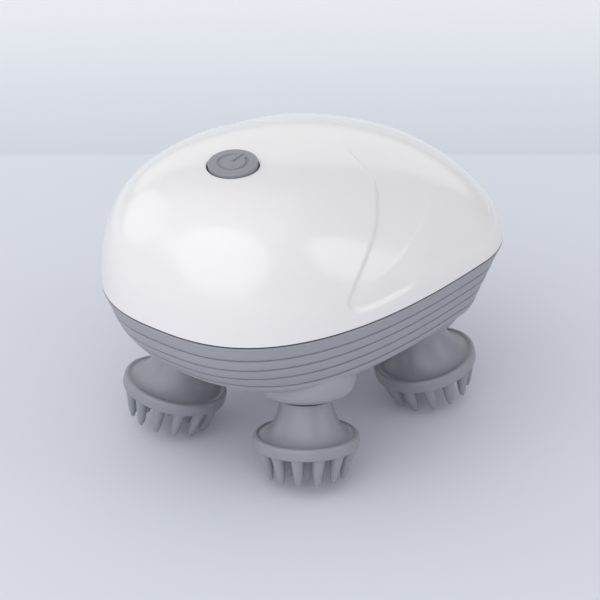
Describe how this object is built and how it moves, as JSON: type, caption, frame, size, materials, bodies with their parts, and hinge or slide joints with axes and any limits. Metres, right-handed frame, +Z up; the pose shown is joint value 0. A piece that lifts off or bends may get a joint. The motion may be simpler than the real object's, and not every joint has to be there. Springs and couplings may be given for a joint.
{
  "type": "electric scalp massager",
  "caption": "Hand-held electric scalp massager: smooth egg-shaped cover with a power button, ribbed lower housing and splayed, gear-driven massage heads with soft pins.",
  "frame": {"origin": "bottom centre of the bounding box, on the floor under the lowest pin tips", "axes": "+Z up, +X to the object's right as seen from above with the front ahead, -Y towards the front (button end), +Y towards the charging port"},
  "size_m": [0.0946, 0.1214, 0.0933],
  "materials": {
    "cover_plastic": "satin",
    "housing_plastic": "satin",
    "button_plastic": "satin",
    "head_plastic": "satin",
    "pad_silicone": "matte",
    "gasket_rubber": "matte",
    "frame_plastic": "matte",
    "gear_plastic": "satin",
    "steel": "brushed",
    "bearing_bronze": "sintered",
    "magnet": "matte",
    "winding_copper": "varnished",
    "circuit_board": "satin",
    "chip_plastic": "matte",
    "cell_sleeve": "gloss",
    "wire_sleeve": "satin"
  },
  "bodies": {
    "housing": {"lower_housing": "housing_plastic", "top_cover": "cover_plastic", "seam_gasket": "gasket_rubber", "gear_plate": "frame_plastic", "button_membrane": "gasket_rubber", "tact_switch": "chip_plastic", "button_board": "circuit_board", "button_board_screws": "steel", "motor_can": "steel", "motor_magnets": "magnet", "motor_end_cap": "frame_plastic", "motor_screws": "steel", "idler_axle": "steel", "centre_axle": "steel", "leg_seals": "gasket_rubber", "leg_bushes": "bearing_bronze", "plate_bushes": "bearing_bronze", "battery_cell": "cell_sleeve", "battery_holder": "frame_plastic", "main_board": "circuit_board", "board_parts": "chip_plastic", "lead_wires": "wire_sleeve", "charge_socket": "chip_plastic", "flap_pin": "steel", "cover_screws": "steel", "plate_screws": "steel"},
    "centre_gear": {"centre_gear": "gear_plastic"},
    "idler": {"idler_gear": "gear_plastic"},
    "rotor": {"motor_armature": "winding_copper", "motor_shaft": "steel", "motor_pinion": "bearing_bronze"},
    "button": {"power_button": "button_plastic"},
    "plunger": {"switch_plunger": "chip_plastic"},
    "flap": {"port_flap": "pad_silicone"},
    "head_front_right": {"head_hub_front_right": "head_plastic", "pin_pad_front_right": "pad_silicone", "spindle_front_right": "steel", "spindle_clip_front_right": "steel", "head_gear_front_right": "gear_plastic"},
    "head_front_left": {"head_hub_front_left": "head_plastic", "pin_pad_front_left": "pad_silicone", "spindle_front_left": "steel", "spindle_clip_front_left": "steel", "head_gear_front_left": "gear_plastic"},
    "head_rear_right": {"head_hub_rear_right": "head_plastic", "pin_pad_rear_right": "pad_silicone", "spindle_rear_right": "steel", "spindle_clip_rear_right": "steel", "head_gear_rear_right": "gear_plastic"},
    "head_rear_left": {"head_hub_rear_left": "head_plastic", "pin_pad_rear_left": "pad_silicone", "spindle_rear_left": "steel", "spindle_clip_rear_left": "steel", "head_gear_rear_left": "gear_plastic"}
  },
  "joints": [
    {"name": "centre_spin", "type": "hinge", "parent": "housing", "child": "centre_gear", "pos_m": [0, 0.0018, 0.045], "axis": [0, 0, 1], "continuous": true},
    {"name": "idler_spin", "type": "hinge", "parent": "housing", "child": "idler", "pos_m": [0, -0.0207, 0.05], "axis": [0, 0, 1], "continuous": true},
    {"name": "rotor_spin", "type": "hinge", "parent": "housing", "child": "rotor", "pos_m": [0, -0.0067, 0.06], "axis": [0, 0, 1], "continuous": true},
    {"name": "head_spin_front_right", "type": "hinge", "parent": "housing", "child": "head_front_right", "pos_m": [0.024, -0.0264, 0.01097], "axis": [-0.1348, 0.1583, 0.9781], "continuous": true},
    {"name": "head_spin_front_left", "type": "hinge", "parent": "housing", "child": "head_front_left", "pos_m": [-0.024, -0.0264, 0.01097], "axis": [0.1348, 0.1583, 0.9781], "continuous": true},
    {"name": "head_spin_rear_right", "type": "hinge", "parent": "housing", "child": "head_rear_right", "pos_m": [0.024, 0.03, 0.01097], "axis": [-0.1348, -0.1583, 0.9781], "continuous": true},
    {"name": "head_spin_rear_left", "type": "hinge", "parent": "housing", "child": "head_rear_left", "pos_m": [-0.024, 0.03, 0.01097], "axis": [0.1348, -0.1583, 0.9781], "continuous": true},
    {"name": "button_press", "type": "slide", "parent": "housing", "child": "button", "axis": [0, 0.0906, -0.9959], "range_m": [0, 0.0005], "stiffness_N_per_m": 800, "springref_m": -0.0005},
    {"name": "plunger_press", "type": "slide", "parent": "housing", "child": "plunger", "axis": [0, 0.0906, -0.9959], "range_m": [0, 0.0005]},
    {"name": "flap_hinge", "type": "hinge", "parent": "housing", "child": "flap", "pos_m": [0, 0.05363, 0.03864], "axis": [-1, 0, 0], "range_deg": [0, 100]}
  ],
  "couplings": [
    {"joint": "idler_spin", "follows": "centre_spin", "ratio": -4},
    {"joint": "rotor_spin", "follows": "centre_spin", "ratio": 14.667},
    {"joint": "head_spin_front_right", "follows": "centre_spin", "ratio": -1.3333},
    {"joint": "head_spin_front_left", "follows": "centre_spin", "ratio": -1.3333},
    {"joint": "head_spin_rear_right", "follows": "centre_spin", "ratio": -1.3333},
    {"joint": "head_spin_rear_left", "follows": "centre_spin", "ratio": -1.3333},
    {"joint": "plunger_press", "follows": "button_press", "ratio": 1}
  ]
}
